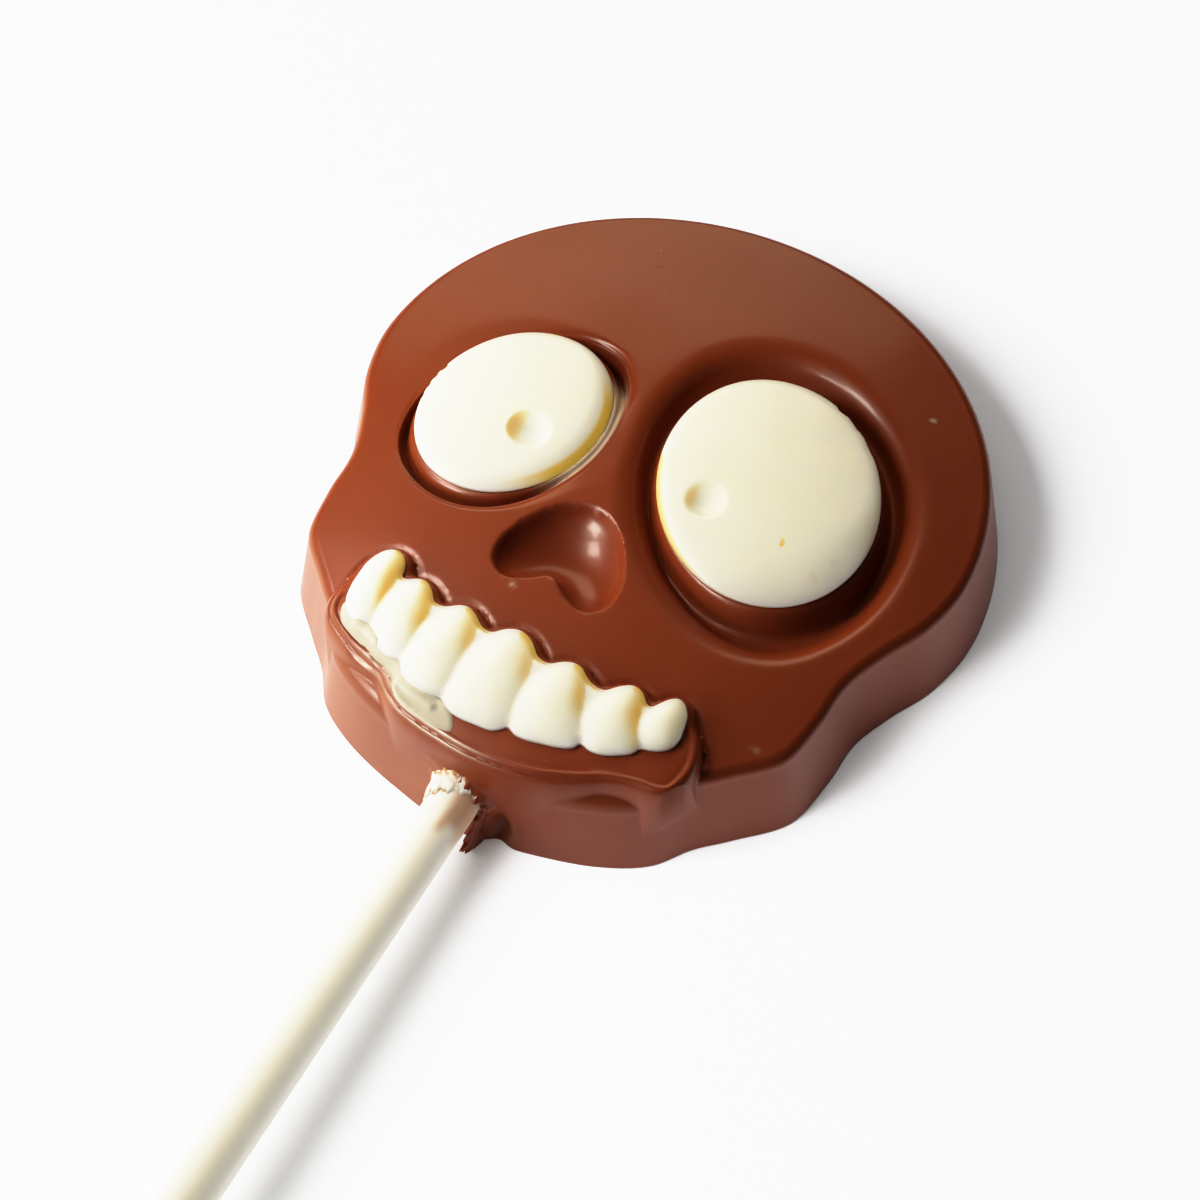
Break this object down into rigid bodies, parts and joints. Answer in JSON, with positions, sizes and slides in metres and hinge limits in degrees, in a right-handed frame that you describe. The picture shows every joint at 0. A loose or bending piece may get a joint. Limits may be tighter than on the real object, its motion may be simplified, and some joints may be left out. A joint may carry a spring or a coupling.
{
  "type": "skull lollipop",
  "caption": "Moulded milk-chocolate lollipop in the form of a grinning skull with white-chocolate eyes and teeth, on a rolled paper stick, lying on its flat back.",
  "frame": {"origin": "on the flat back, below the middle of the face", "axes": "+X to the right across the face, +Y towards the crown, +Z out of the face; the stick runs out along -Y"},
  "size_m": [0.0618, 0.1547, 0.0125],
  "materials": {
    "milk_chocolate": "semi-gloss",
    "white_chocolate": "semi-gloss",
    "paper": "matt"
  },
  "bodies": {
    "root": {"skull_body": "milk_chocolate", "eye_left": "white_chocolate", "eye_right": "white_chocolate", "teeth": "white_chocolate", "stick": "paper"}
  },
  "joints": []
}
